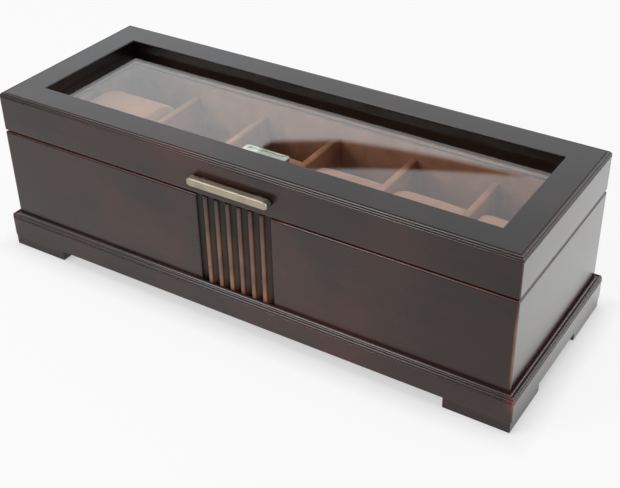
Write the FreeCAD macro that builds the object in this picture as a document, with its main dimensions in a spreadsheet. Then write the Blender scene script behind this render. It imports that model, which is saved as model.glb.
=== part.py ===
import FreeCAD, Part
import os
from math import sqrt
from types import SimpleNamespace

import Sketcher

# Watch box: a fluted wooden case on a moulded plinth and four feet, with a hinged lid that holds a
# pane of glass in a moulded frame, and six compartments that each hold one cushion.
# Millimetres. X runs along the box to the right, Y to the back and Z up. The floor is at Z = 0.
# The origin is under the middle of everything that sticks out, on the floor.

# Driving sizes

SIZES = {
    # the case
    "body_length": 330.0,
    "body_depth": 117.5,
    "wall": 8.75,
    "wall_rise": 66.8,
    "arris": 1.2,
    # the plinth under the case, and its feet
    "foot_rise": 7.5,
    "foot_length": 38.0,
    "foot_width": 37.0,
    "foot_inset": 0.6,
    "foot_arris": 0.8,
    "plinth_rise": 11.4,
    "plinth_reach": 3.7,
    "mould_rise": 4.4,
    "mould_lip": 0.4,
    "ledge_rise": 5.0,
    "ledge_width": 4.0,
    # the flutes in the front wall
    "flute_count": 7,
    "flute_pitch": 7.35,
    "flute_ridge": 1.4,
    "flute_round": 0.8,
    "flute_depth": 2.4,
    # the lid
    "seam_gap": 0.8,
    "lid_rise": 24.2,
    "rail_width": 19.1,
    "flange_thick": 6.3,
    "edge_width": 2.6,
    "edge_drop": 3.2,
    "quirk": 0.3,
    "inner_arris": 0.6,
    "glass_thick": 3.0,
    "glass_clear": 0.5,
    "bead_width": 7.6,
    "bead_rise": 8.0,
    "lid_lining_set_back": 0.5,
    "lid_lining_inset": 0.4,
    # the inside of the case
    "floor_thick": 4.0,
    "lining": 1.5,
    "lining_inset": 0.5,
    "divider_count": 5,
    "divider_thick": 4.5,
    "divider_drop": 9.8,
    "divider_round": 1.2,
    # the cushions: size, and how high each one stands over the lined floor
    "cushion_depth": 70.0,
    "cushion_rise": 40.0,
    "cushion_gap": 0.3,
    "cushion_corner": 12.5,
    "cushion_crown": 3.0,
    "cushion_bulge": 1.5,
    "cushion_end": 4.0,
    "cushion_end_run": 6.0,
    "cushion_waist": 0.6,
    "seat_1": 19.0,
    "seat_2": 0.3,
    "seat_3": 7.0,
    "seat_4": 9.0,
    "seat_5": 9.0,
    "seat_6": 10.0,
    # the handle on the lid's front
    "handle_length": 52.0,
    "handle_height": 4.8,
    "handle_thick": 4.0,
    "handle_gap": 1.2,
    "handle_bevel": 0.5,
    "handle_drop": 14.6,
    "post_radius": 2.0,
    "post_pitch": 36.0,
    "handle_screw_radius": 1.25,
    "handle_screw_bite": 4.0,
    "handle_head_radius": 3.0,
    "handle_head_rise": 1.8,
    "head_clear": 0.2,
    # the two hinges on the back
    "hinge_inset": 57.0,
    "hinge_length": 30.0,
    "knuckle_radius": 2.2,
    "knuckle_clear": 0.2,
    "knuckle_length": 10.0,
    "knuckle_gap": 0.3,
    "pin_radius": 0.9,
    "pin_clear": 0.05,
    "leaf_width": 7.0,
    "leaf_thick": 1.0,
    "leaf_gap": 0.3,
    "mortise_clear": 0.1,
    "wood_screw_radius": 0.8,
    "wood_screw_length": 9.0,
    "wood_head_radius": 1.5,
    "wood_screw_pitch": 10.0,
    "screw_clear": 0.05,
    # the magnetic catch inside the lid's front, and the strike on the case
    "catch_length": 28.0,
    "catch_reach": 19.4,
    "catch_rise": 12.2,
    "catch_round": 1.5,
    "catch_under_glass": 0.5,
    "catch_groove_width": 2.4,
    "catch_groove_depth": 1.0,
    "catch_rim": 1.1,
    "catch_plate_length": 44.0,
    "catch_plate_rise": 7.0,
    "plate_thick": 1.2,
    "magnet_length": 20.0,
    "magnet_width": 5.0,
    "magnet_rise": 7.0,
    "pole_thick": 1.5,
    "pole_out": 0.5,
    "strike_length": 22.0,
    "strike_over_divider": 1.0,
    "strike_gap": 0.3,
    "strike_short": 1.0,
    "small_screw_length": 6.0,
    "small_screw_radius": 0.9,
    "small_head_radius": 1.8,
    "small_head_rise": 1.0,
    "tip_clear": 0.3,
    # how far a cutting outline runs past the solid that it cuts
    "cut_margin": 1.0,
}

# Corners between the three reeds of each edge moulding, as shares of its width and its rise, from
# its lower outer end inwards. The lid's and the plinth's mouldings have the same reeds, and the
# plinth's ends in a cove against the case.
LID_REEDS = ((0.0, 0.0), (0.12, 0.38), (0.36, 0.70), (0.86, 0.92))
PLINTH_REEDS = ((0.0, 0.0), (0.08, 0.27), (0.19, 0.60), (0.42, 0.86))
COVE_START = (0.48, 0.72)
# Radius of an arc as a share of its chord; half a chord would be a half circle.
REED_ROUNDNESS = 0.54
COVE_ROUNDNESS = 0.90
# Half the diagonal of a unit square, for the middle of a rounded corner.
DIAGONAL = sqrt(0.5)
# Which side of its direction of travel an arc bulges to.
LEFT, RIGHT = 1, -1
# Turns about Z that bring a front rail to each side of the box.
SIDES = {"front": 0, "right": 90, "back": 180, "left": 270}
# Turns that point a screw from its head up, down or to the front of the box.
X_AXIS = FreeCAD.Vector(1, 0, 0)
UPWARDS = FreeCAD.Rotation(X_AXIS, 0)
DOWNWARDS = FreeCAD.Rotation(X_AXIS, 180)
FORWARDS = FreeCAD.Rotation(X_AXIS, 90)


class Size:
    """A size: its number now, and the expression that gives it from the sheet."""

    def __init__(self, number, text):
        self.number = number
        self.text = text

    @staticmethod
    def of(value):
        if isinstance(value, Size):
            return value
        return Size(float(value), f"{float(value):.9f}")

    def __add__(self, other):
        other = Size.of(other)
        return Size(self.number + other.number, f"({self.text} + {other.text})")

    def __sub__(self, other):
        other = Size.of(other)
        return Size(self.number - other.number, f"({self.text} - {other.text})")

    def __mul__(self, other):
        other = Size.of(other)
        return Size(self.number * other.number, f"({self.text} * {other.text})")

    def __truediv__(self, other):
        other = Size.of(other)
        return Size(self.number / other.number, f"({self.text} / {other.text})")

    def __neg__(self):
        return Size.of(0) - self

    def hypot(self, other):
        square = self * self + other * other
        return Size(sqrt(square.number), f"sqrt({square.text})")


def fill_sheet(doc):
    """Writes the driving sizes into the document's sheet, one aliased cell each."""
    sheet = doc.addObject("Spreadsheet::Sheet", "Sizes")
    for row, (name, value) in enumerate(SIZES.items(), start=1):
        sheet.set(f"A{row}", name)
        sheet.set(f"B{row}", str(value))
        sheet.setAlias(f"B{row}", name)
    doc.recompute()


doc = FreeCAD.newDocument("WatchBox")
fill_sheet(doc)
cell = SimpleNamespace(**{name: Size(float(value), f"Sizes.{name}") for name, value in SIZES.items()})
ZERO = Size.of(0)
nodes = {}

# Levels and faces that several pieces share

half_length = cell.body_length / 2
half_depth = cell.body_depth / 2
ledge = cell.foot_rise + cell.ledge_rise
plinth_top = cell.foot_rise + cell.plinth_rise
body_top = ledge + cell.wall_rise
seam = body_top + cell.seam_gap / 2
lid_bottom = body_top + cell.seam_gap
lid_top = lid_bottom + cell.lid_rise
glass_top = lid_top - cell.flange_thick
glass_bottom = glass_top - cell.glass_thick
bead_bottom = glass_bottom - cell.bead_rise
inner_half_length = half_length - cell.wall
inner_half_depth = half_depth - cell.wall
lined_half_length = inner_half_length - cell.lining
lined_half_depth = inner_half_depth - cell.lining
floor_top = ledge + cell.floor_thick
lined_floor = floor_top + cell.lining
divider_top = body_top - cell.divider_drop
handle_z = lid_top - cell.handle_drop
hinge_x = half_length - cell.hinge_inset
hinge_out = cell.knuckle_radius + cell.knuckle_clear
bead_face = inner_half_depth - cell.bead_width
catch_top = glass_bottom - cell.catch_under_glass
catch_bottom = catch_top - cell.catch_rise
pole_bottom = catch_bottom - cell.pole_out
catch_middle = bead_face - cell.catch_reach / 2 - cell.plate_thick / 2
strike_top = pole_bottom - cell.strike_gap
strike_bottom = divider_top + cell.strike_over_divider
catch_holes = [((cell.catch_length + cell.catch_plate_length) / 4 * way,
                catch_top - cell.catch_plate_rise / 2) for way in (-1, 1)]
strike_holes = [(cell.strike_length / 4 * way, (strike_bottom + strike_top) / 2) for way in (-1, 1)]
front_reach = cell.handle_gap + cell.handle_thick
back_reach = hinge_out + cell.knuckle_radius
# The handle reaches further out than the hinges, so the case stands this far behind the origin.
set_back = (front_reach - back_reach) / 2


# Building blocks

def place(piece, x=ZERO, y=ZERO, z=ZERO, turn=0):
    """Puts a sub-part at a spot of the box, turned about Z, and enters it as a node."""
    spin = FreeCAD.Rotation(FreeCAD.Vector(0, 0, 1), turn)
    piece.Placement = FreeCAD.Placement(FreeCAD.Vector(0, 0, 0), spin)
    spot = {"x": x, "y": y + set_back, "z": z}
    for axis, size in spot.items():
        piece.setExpression(f"Placement.Base.{axis}", size.text)
    nodes[piece.Label] = piece
    return piece


def block(label, low, extent):
    """A plain board between a low corner and that corner plus its extent."""
    board = doc.addObject("Part::Box", label)
    for prop, size in zip(("Length", "Width", "Height"), extent):
        board.setExpression(prop, size.text)
    return place(board, *low)


def new_body(label):
    return doc.addObject("PartDesign::Body", label)


def drill(body, y, holes, radius, depth):
    """Bores holes at (x, z) forwards into the body, from a plane at that distance before the middle."""
    rims = new_sketch(body, "XZ_Plane", y)
    for x, z in holes:
        trace_circle(rims, x, z, radius)
    cut(body, rims, depth, reverse=True)


def drilled_block(label, low, extent, holes, radius, depth):
    """A board along the front, bored from its inner face."""
    board = new_body(label)
    face = new_sketch(board, "XZ_Plane", -low[1])
    trace_box(face, low[0], low[2], low[0] + extent[0], low[2] + extent[2])
    pad(board, face, extent[1], reverse=True)
    drill(board, -low[1] - extent[1], holes, radius, depth)
    return place(board)


def origin_feature(body, role):
    """The body's own plane or axis of that role, such as XY_Plane or X_Axis."""
    return next(item for item in body.Origin.OriginFeatures if item.Role == role)


def new_sketch(body, role, offset=ZERO):
    """A sketch on one of the body's origin planes, moved along that plane's normal."""
    sketch = body.newObject("Sketcher::SketchObject", f"{body.Name}_sketch")
    sketch.AttachmentSupport = [(origin_feature(body, role), "")]
    sketch.MapMode = "FlatFace"
    sketch.setExpression("AttachmentOffset.Base.z", offset.text)
    return sketch


def pin_point(sketch, geometry, end, x, y):
    """Fixes one end of an edge at x, y of the sketch."""
    for kind, size in (("DistanceX", x), ("DistanceY", y)):
        index = sketch.addConstraint(Sketcher.Constraint(kind, -1, 1, geometry, end, size.number))
        sketch.setExpression(f"Constraints[{index}]", size.text)


def trace(sketch, corners):
    """Draws a closed outline. A corner is (x, y), or (x, y, radius, side) where an arc leaves it."""
    first = sketch.GeometryCount
    spots = [FreeCAD.Vector(corner[0].number, corner[1].number, 0) for corner in corners]
    ends = []
    for index, corner in enumerate(corners):
        start, stop = spots[index], spots[(index + 1) % len(spots)]
        if len(corner) == 2:
            sketch.addGeometry(Part.LineSegment(start, stop), False)
            ends.append((1, 2))
            continue
        radius, side = corner[2].number, corner[3]
        chord = stop - start
        rise = radius - sqrt(max(radius ** 2 - chord.Length ** 2 / 4, 0.0))
        normal = FreeCAD.Vector(-chord.y, chord.x, 0).normalize() * side
        sketch.addGeometry(Part.Arc(start, (start + stop) / 2 + normal * rise, stop), False)
        ends.append((2, 1) if side == LEFT else (1, 2))
    for index, corner in enumerate(corners):
        edge = first + index
        before = first + (index - 1) % len(corners)
        joint = Sketcher.Constraint("Coincident", edge, ends[index][0], before, ends[index - 1][1])
        sketch.addConstraint(joint)
        pin_point(sketch, edge, ends[index][0], corner[0], corner[1])
        if len(corner) == 4:
            bend = sketch.addConstraint(Sketcher.Constraint("Radius", edge, corner[2].number))
            sketch.setExpression(f"Constraints[{bend}]", corner[2].text)


def trace_box(sketch, low_x, low_y, high_x, high_y):
    trace(sketch, [(low_x, low_y), (high_x, low_y), (high_x, high_y), (low_x, high_y)])


def trace_circle(sketch, x, y, radius):
    centre = FreeCAD.Vector(x.number, y.number, 0)
    circle = Part.Circle(centre, FreeCAD.Vector(0, 0, 1), radius.number)
    index = sketch.addGeometry(circle, False)
    pin_point(sketch, index, 3, x, y)
    bend = sketch.addConstraint(Sketcher.Constraint("Radius", index, radius.number))
    sketch.setExpression(f"Constraints[{bend}]", radius.text)


def pad(body, sketch, length, side="One side", reverse=False):
    feature = body.newObject("PartDesign::Pad", f"{body.Name}_pad")
    feature.Profile = sketch
    feature.SideType = side
    feature.Reversed = reverse
    feature.setExpression("Length", length.text)
    return feature


def cut(body, sketch, depth=None, reverse=False):
    """Cuts a sketch's outline into the body: right through both ways, or to a depth."""
    feature = body.newObject("PartDesign::Pocket", f"{body.Name}_cut")
    feature.Profile = sketch
    if depth is None:
        feature.SideType = "Symmetric"
        feature.Type = "ThroughAll"
    else:
        feature.Reversed = reverse
        feature.setExpression("Length", depth.text)
    return feature


def mirror(body, features):
    """Repeats features on the other side of the body's middle."""
    feature = body.newObject("PartDesign::Mirrored", f"{body.Name}_mirror")
    feature.Originals = features
    feature.MirrorPlane = (origin_feature(body, "YZ_Plane"), [""])
    body.Tip = feature
    return feature


def repeat(body, features, count, pitch):
    """Repeats features along the body's X axis."""
    feature = body.newObject("PartDesign::LinearPattern", f"{body.Name}_row")
    feature.Originals = features
    feature.Direction = (origin_feature(body, "X_Axis"), [""])
    feature.setExpression("Occurrences", count.text)
    feature.setExpression("Length", (pitch * (count - 1)).text)
    body.Tip = feature
    return feature


def edge_names(shape, wanted):
    """Names of the edges of a shape that a test picks."""
    return [f"Edge{index}" for index, edge in enumerate(shape.Edges, start=1) if wanted(edge)]


def ease(body, kind, size, wanted):
    """Rounds or bevels the edges of the body so far that a test picks."""
    doc.recompute()
    base = body.Tip
    feature = body.newObject(f"PartDesign::{kind}", f"{body.Name}_{kind.lower()}")
    feature.Base = (base, edge_names(base.Shape, wanted))
    feature.setExpression("Radius" if kind == "Fillet" else "Size", size.text)
    return feature


def reeds(shares, width, rise, left, bottom):
    """The corners of three reeds, from the inner top down to the outer bottom."""
    points = [(left + width * across, bottom + rise * up) for across, up in reversed(shares)]
    corners = []
    for (x, y), (next_x, next_y) in zip(points, points[1:]):
        chord = (next_x - x).hypot(next_y - y)
        corners.append((x, y, chord * REED_ROUNDNESS, RIGHT))
    corners.append(points[-1])
    return corners


def mitred_rail(label, run, reach, width, corners):
    """A rail along X whose outer face is at Y = -reach, mitred at both ends.

    The corners of its section are (depth behind the outer face, height). Each end is cut at 45
    degrees, and its half of the box's upright corner is rounded.
    """
    body = new_body(label)
    section = new_sketch(body, "YZ_Plane")
    trace(section, [(corner[0] - reach, *corner[1:]) for corner in corners])
    pad(body, section, run, side="Symmetric")
    half_run, margin, bend = run / 2, cell.cut_margin, cell.arris
    inner = width + margin
    mitre = new_sketch(body, "XY_Plane")
    trace(mitre, [
        (half_run - bend + bend * DIAGONAL, bend - bend * DIAGONAL - reach, bend, LEFT),
        (half_run - bend, -reach),
        (half_run - bend, -reach - margin),
        (half_run + margin, -reach - margin),
        (half_run + margin, inner - reach),
        (half_run - inner, inner - reach),
    ])
    mirror(body, [cut(body, mitre)])
    return body


def side_run(side, length, depth):
    """How long a rail is on a side of the box, and how far its outer face is from the middle."""
    if side in ("front", "back"):
        return length, depth / 2
    return depth, length / 2


# Feet and plinth

def make_feet():
    """Four blocks under the plinth's corners, eased round the edges that stand on the floor."""
    reach_x = half_length + cell.plinth_reach - cell.foot_inset
    reach_y = half_depth + cell.plinth_reach - cell.foot_inset
    for end, way_x in (("left", -1), ("right", 1)):
        for face, way_y in (("front", -1), ("back", 1)):
            foot = new_body(f"foot_{face}_{end}")
            plan = new_sketch(foot, "XY_Plane")
            across, along = cell.foot_length / 2, cell.foot_width / 2
            trace_box(plan, -across, -along, across, along)
            pad(foot, plan, cell.foot_rise)
            ease(foot, "Fillet", cell.foot_arris, lambda edge: edge.BoundBox.ZMax < 0.001)
            place(foot, (reach_x - across) * way_x, (reach_y - along) * way_y)


def make_plinth():
    """Four moulded rails that carry the case in a rebate and the floor panel on a ledge."""
    reach, rise = cell.plinth_reach, cell.mould_rise
    width = reach + cell.wall + cell.ledge_width
    mould = reeds(PLINTH_REEDS, reach, rise, ZERO, plinth_top)
    cove_x, cove_y = reach * COVE_START[0], plinth_top + rise * COVE_START[1]
    lip_x, lip_y = reach - cell.mould_lip, plinth_top + rise
    cove = (cove_x - lip_x).hypot(cove_y - lip_y) * COVE_ROUNDNESS
    section = [
        (ZERO, cell.foot_rise),
        (width, cell.foot_rise),
        (width, ledge),
        (reach, ledge),
        (reach, lip_y),
        (lip_x, lip_y, cove, LEFT),
        (cove_x, cove_y),
        *mould,
    ]
    for side, turn in SIDES.items():
        run, out = side_run(side, cell.body_length + reach * 2, cell.body_depth + reach * 2)
        place(mitred_rail(f"plinth_{side}", run, out, width, section), turn=turn)


# Case

def cut_flutes(body):
    """Hollow flutes with rounded ridges in the middle of the front wall, from the seam down."""
    bend = cell.flute_round
    wide = (cell.flute_pitch - cell.flute_ridge) / 2
    half, deep = wide - bend, cell.flute_depth - bend
    radius = (half * half + deep * deep) / (deep * 2)
    first = -cell.flute_pitch * (cell.flute_count - 1) / 2
    outline = new_sketch(body, "XY_Plane")
    trace(outline, [
        (first - wide, -half_depth, bend, RIGHT),
        (first - half, bend - half_depth, radius, LEFT),
        (first + half, bend - half_depth, bend, RIGHT),
        (first + wide, -half_depth),
        (first + wide, -half_depth - cell.cut_margin),
        (first - wide, -half_depth - cell.cut_margin),
    ])
    repeat(body, [cut(body, outline)], cell.flute_count, cell.flute_pitch)


def cut_hinge_seats(body, level, upwards):
    """Mortises for two hinge leaves in the edge of a back rail, with pilot holes for the screws."""
    depth = cell.leaf_thick + cell.leaf_gap / 2 - cell.seam_gap / 2
    half = cell.hinge_length / 2 + cell.mortise_clear
    mortise = new_sketch(body, "XY_Plane", level)
    trace_box(mortise, hinge_x - half, -half_depth - cell.cut_margin,
              hinge_x + half, -half_depth + cell.leaf_width + cell.mortise_clear)
    seat = cut(body, mortise, depth, reverse=upwards)
    holes = new_sketch(body, "XY_Plane", level)
    for step in (-1, 0, 1):
        trace_circle(holes, hinge_x + cell.wood_screw_pitch * step,
                     cell.leaf_width / 2 - half_depth, cell.wood_screw_radius)
    pilots = cut(body, holes, depth + cell.wood_screw_length, reverse=upwards)
    mirror(body, [seat, pilots])


def make_walls():
    """Four mitred walls with a rounded upper edge: the front one fluted, the back one hinged."""
    section = [
        (ZERO, ledge),
        (cell.wall, ledge),
        (cell.wall, body_top),
        (cell.arris, body_top, cell.arris, RIGHT),
        (ZERO, body_top - cell.arris),
    ]
    for side, turn in SIDES.items():
        run, out = side_run(side, cell.body_length, cell.body_depth)
        body = mitred_rail(f"wall_{side}", run, out, cell.wall, section)
        if side == "front":
            cut_flutes(body)
            drill(body, inner_half_depth, strike_holes, cell.small_screw_radius,
                  cell.small_screw_length + cell.tip_clear - cell.lining - cell.plate_thick)
        if side == "back":
            cut_hinge_seats(body, body_top, upwards=False)
        place(body, turn=turn)


def make_floor():
    block("floor_panel", (-inner_half_length, -inner_half_depth, ledge),
          (inner_half_length * 2, inner_half_depth * 2, cell.floor_thick))


def make_linings():
    """Suede on boards: over the floor, then along the four walls."""
    thick = cell.lining
    rise = body_top - cell.lining_inset - lined_floor
    block("lining_floor", (-inner_half_length, -inner_half_depth, floor_top),
          (inner_half_length * 2, inner_half_depth * 2, thick))
    drilled_block("lining_front", (-inner_half_length, -inner_half_depth, lined_floor),
                  (inner_half_length * 2, thick, rise), strike_holes, cell.small_screw_radius, thick)
    block("lining_back", (-inner_half_length, lined_half_depth, lined_floor),
          (inner_half_length * 2, thick, rise))
    block("lining_left", (-inner_half_length, -lined_half_depth, lined_floor),
          (thick, lined_half_depth * 2, rise))
    block("lining_right", (lined_half_length, -lined_half_depth, lined_floor),
          (thick, lined_half_depth * 2, rise))


compartments = cell.divider_count + 1
compartment = (lined_half_length * 2 - cell.divider_thick * cell.divider_count) / compartments
compartment_pitch = compartment + cell.divider_thick


def make_dividers():
    """Padded boards that part the compartments, rounded along the top."""
    half, bend, top = cell.divider_thick / 2, cell.divider_round, divider_top - lined_floor
    for number in range(1, int(cell.divider_count.number) + 1):
        body = new_body(f"divider_{number}")
        section = new_sketch(body, "XZ_Plane")
        trace(section, [
            (-half, ZERO),
            (half, ZERO),
            (half, top - bend, bend, RIGHT),
            (half - bend, top),
            (bend - half, top, bend, RIGHT),
            (-half, top - bend),
        ])
        pad(body, section, lined_half_depth * 2, side="Symmetric")
        middle = compartment_pitch * number - cell.divider_thick / 2 - lined_half_length
        place(body, x=middle, z=lined_floor)


# Cushions

def cushion_section(inset):
    """Corners of an oval section through a cushion, drawn in by an inset all round.

    Four large arcs make the crown, the belly and the two sides, and four small ones join them
    without a crease.
    """
    half_y, half_z = cell.cushion_depth / 2 - inset, cell.cushion_rise / 2 - inset
    corner = cell.cushion_corner - inset / 2
    centre_y = half_y - corner - cell.cushion_bulge
    centre_z = half_z - corner - cell.cushion_crown
    drop, side = half_z - centre_z, half_y - centre_y
    crown = (centre_y * centre_y + drop * drop - corner * corner) / ((drop - corner) * 2)
    flank = (centre_z * centre_z + side * side - corner * corner) / ((side - corner) * 2)
    crown_share, flank_share = crown / (crown - corner), flank / (flank - corner)
    crown_y = centre_y * crown_share
    crown_z = (half_z - crown) + (centre_z - half_z + crown) * crown_share
    flank_y = (half_y - flank) + (centre_y - half_y + flank) * flank_share
    flank_z = centre_z * flank_share
    return [
        (flank_y, -flank_z, flank, RIGHT),
        (flank_y, flank_z, corner, RIGHT),
        (crown_y, crown_z, crown, RIGHT),
        (-crown_y, crown_z, corner, RIGHT),
        (-flank_y, flank_z, flank, RIGHT),
        (-flank_y, -flank_z, corner, RIGHT),
        (-crown_y, -crown_z, crown, RIGHT),
        (crown_y, -crown_z, corner, RIGHT),
    ]


def make_cushions():
    """A stuffed cushion in each compartment, at its own height over the floor."""
    half = compartment / 2 - cell.cushion_gap
    seats = [cell.seat_1, cell.seat_2, cell.seat_3, cell.seat_4, cell.seat_5, cell.seat_6]
    stations = [
        (-half, cell.cushion_end),
        (cell.cushion_end_run - half, cell.cushion_waist),
        (ZERO, ZERO),
        (half - cell.cushion_end_run, cell.cushion_waist),
        (half, cell.cushion_end),
    ]
    for number in range(1, int(cell.divider_count.number) + 2):
        body = new_body(f"cushion_{number}")
        rings = []
        for offset, inset in stations:
            ring = new_sketch(body, "YZ_Plane", offset)
            trace(ring, cushion_section(inset))
            rings.append(ring)
        loft = body.newObject("PartDesign::AdditiveLoft", f"{body.Name}_loft")
        loft.Profile = rings[0]
        loft.Sections = rings[1:]
        middle = compartment_pitch * number - cell.divider_thick - compartment / 2 - lined_half_length
        seat = seats[(number - 1) % len(seats)]
        place(body, x=middle, z=lined_floor + seat + cell.cushion_rise / 2)


# Lid

def make_lid_frame():
    """Four moulded rails: an apron as thick as the wall, and a flange that the glass lies under."""
    mould = reeds(LID_REEDS, cell.edge_width, cell.edge_drop, ZERO, lid_top - cell.edge_drop)
    section = [
        (ZERO, lid_bottom + cell.arris, cell.arris, RIGHT),
        (cell.arris, lid_bottom),
        (cell.wall, lid_bottom),
        (cell.wall, glass_top),
        (cell.rail_width, glass_top),
        (cell.rail_width, lid_top - cell.inner_arris, cell.inner_arris, RIGHT),
        (cell.rail_width - cell.inner_arris, lid_top),
        (cell.edge_width, lid_top),
        (cell.edge_width, lid_top - cell.quirk),
        *mould,
    ]
    for side, turn in SIDES.items():
        run, out = side_run(side, cell.body_length, cell.body_depth)
        body = mitred_rail(f"lid_{side}", run, out, cell.rail_width, section)
        if side == "front":
            holes = new_sketch(body, "XZ_Plane")
            for way in (-1, 1):
                trace_circle(holes, cell.post_pitch / 2 * way, handle_z,
                             cell.handle_screw_radius + cell.screw_clear)
            cut(body, holes)
            spots = [(cell.post_pitch / 2 * way, handle_z) for way in (-1, 1)]
            drill(body, inner_half_depth, spots, cell.handle_head_radius + cell.head_clear,
                  cell.handle_head_rise)
        if side == "back":
            cut_hinge_seats(body, lid_bottom, upwards=True)
        place(body, turn=turn)


def make_glass():
    half_x = inner_half_length - cell.glass_clear
    half_y = inner_half_depth - cell.glass_clear
    block("glass_pane", (-half_x, -half_y, glass_bottom), (half_x * 2, half_y * 2, cell.glass_thick))


def make_beads():
    """Strips that hold the glass up against the flange, and thin suede on the apron below them."""
    width, rise = cell.bead_width, cell.bead_rise
    short = (inner_half_depth - width) * 2
    drilled_block("bead_front", (-inner_half_length, -inner_half_depth, bead_bottom),
                  (inner_half_length * 2, width, rise), catch_holes, cell.small_screw_radius,
                  cell.small_screw_length + cell.tip_clear - cell.plate_thick)
    block("bead_back", (-inner_half_length, inner_half_depth - width, bead_bottom),
          (inner_half_length * 2, width, rise))
    block("bead_left", (-inner_half_length, width - inner_half_depth, bead_bottom),
          (width, short, rise))
    block("bead_right", (inner_half_length - width, width - inner_half_depth, bead_bottom),
          (width, short, rise))


def make_lid_linings():
    thick = cell.lining - cell.lid_lining_set_back
    low = lid_bottom + cell.lid_lining_inset
    rise = bead_bottom - low
    short = (inner_half_depth - thick) * 2
    block("lid_lining_front", (-inner_half_length, -inner_half_depth, low),
          (inner_half_length * 2, thick, rise))
    block("lid_lining_back", (-inner_half_length, inner_half_depth - thick, low),
          (inner_half_length * 2, thick, rise))
    block("lid_lining_left", (-inner_half_length, thick - inner_half_depth, low),
          (thick, short, rise))
    block("lid_lining_right", (inner_half_length - thick, thick - inner_half_depth, low),
          (thick, short, rise))


# Handle

def make_handle():
    """A flat bar with round ends that stands off the lid's front on two posts."""
    body = new_body("handle")
    half, bend = (cell.handle_length - cell.handle_height) / 2, cell.handle_height / 2
    outline = new_sketch(body, "XZ_Plane", half_depth + cell.handle_gap)
    trace(outline, [
        (-half, handle_z - bend),
        (half, handle_z - bend, bend, RIGHT),
        (half + bend, handle_z, bend, RIGHT),
        (half, handle_z + bend),
        (-half, handle_z + bend, bend, RIGHT),
        (-half - bend, handle_z, bend, RIGHT),
    ])
    pad(body, outline, cell.handle_thick)
    front = -(half_depth + front_reach).number
    ease(body, "Chamfer", cell.handle_bevel, lambda edge: edge.BoundBox.YMax < front + 0.001)
    posts = new_sketch(body, "XZ_Plane", half_depth)
    bores = new_sketch(body, "XZ_Plane", half_depth)
    for way in (-1, 1):
        trace_circle(posts, cell.post_pitch / 2 * way, handle_z, cell.post_radius)
        trace_circle(bores, cell.post_pitch / 2 * way, handle_z, cell.handle_screw_radius)
    pad(body, posts, cell.handle_gap)
    cut(body, bores, cell.handle_screw_bite, reverse=True)
    place(body)


def screw_row(label, spots, turn, shank, head, shank_length, head_rise, flush):
    """A set of like screws, each with its head's outer face at its spot and its shank turned.

    A flush head is a cone, and any other is a low cylinder.
    """
    screws = []
    for number, spot in enumerate(spots, start=1):
        if flush:
            cap = doc.addObject("Part::Cone", f"{label}_head_{number}")
            cap.setExpression("Radius1", head.text)
            cap.setExpression("Radius2", shank.text)
        else:
            cap = doc.addObject("Part::Cylinder", f"{label}_head_{number}")
            cap.setExpression("Radius", head.text)
        cap.setExpression("Height", head_rise.text)
        stem = doc.addObject("Part::Cylinder", f"{label}_stem_{number}")
        stem.setExpression("Radius", shank.text)
        stem.setExpression("Height", (head_rise + shank_length).text)
        screw = doc.addObject("Part::Fuse", f"{label}_{number}_of_set")
        screw.Base = cap
        screw.Tool = stem
        screw.Placement = FreeCAD.Placement(FreeCAD.Vector(0, 0, 0), turn)
        for axis, size in zip("xyz", spot):
            screw.setExpression(f"Placement.Base.{axis}", size.text)
        screws.append(screw)
    row = doc.addObject("Part::Compound", label)
    row.Links = screws
    return place(row)


def make_handle_screws():
    """Two screws from inside the lid, through the front apron into the handle's posts."""
    spots = [(cell.post_pitch / 2 * way, -inner_half_depth, handle_z) for way in (-1, 1)]
    screw_row("handle_screws", spots, FORWARDS, cell.handle_screw_radius, cell.handle_head_radius,
              cell.wall + cell.handle_screw_bite - cell.handle_head_rise - cell.tip_clear,
              cell.handle_head_rise, flush=False)


# Hinges

def make_leaf(label, way_x, lid_side):
    """One leaf of a butt hinge about its own pin axis: plate, knuckles, bore and screw holes."""
    body = new_body(label)
    half, out, margin = cell.hinge_length / 2, hinge_out, cell.cut_margin
    far = out + cell.leaf_width
    bottom = cell.leaf_gap / 2 if lid_side else -cell.leaf_gap / 2 - cell.leaf_thick
    barrel = new_sketch(body, "YZ_Plane")
    trace_circle(barrel, ZERO, ZERO, cell.knuckle_radius)
    pad(body, barrel, cell.hinge_length, side="Symmetric")
    plate = new_sketch(body, "XY_Plane", bottom)
    trace_box(plate, -half, -far, half, ZERO)
    pad(body, plate, cell.leaf_thick)
    notch = new_sketch(body, "XY_Plane")
    beside = cell.knuckle_radius + margin
    if lid_side:
        edge = cell.knuckle_length / 2 - cell.knuckle_gap / 2
        trace_box(notch, edge, -out, half + margin, beside)
        trace_box(notch, -half - margin, -out, -edge, beside)
    else:
        edge = cell.knuckle_length / 2 + cell.knuckle_gap / 2
        trace_box(notch, -edge, -out, edge, beside)
    cut(body, notch)
    bore = new_sketch(body, "YZ_Plane")
    trace_circle(bore, ZERO, ZERO, cell.pin_radius + cell.pin_clear if lid_side else cell.pin_radius)
    cut(body, bore)
    holes = new_sketch(body, "XY_Plane")
    for step in (-1, 0, 1):
        trace_circle(holes, cell.wood_screw_pitch * step, -out - cell.leaf_width / 2,
                     cell.wood_screw_radius + cell.screw_clear)
    cut(body, holes)
    face = cell.leaf_gap.number / 2 * (1 if lid_side else -1)
    row = -(out + cell.leaf_width / 2).number
    rim = cell.wood_screw_radius.number * 2

    def is_mouth(edge):
        """A screw hole's rim on the face that the other leaf closes against."""
        box = edge.BoundBox
        on_face = abs(box.ZMin - face) < 0.001 and box.ZLength < 0.001
        return on_face and abs(box.Center.y - row) < rim / 2 and box.XLength < rim * 2

    ease(body, "Chamfer", cell.wood_head_radius - cell.wood_screw_radius, is_mouth)
    return place(body, x=hinge_x * way_x, y=half_depth + out, z=seam)


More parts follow.
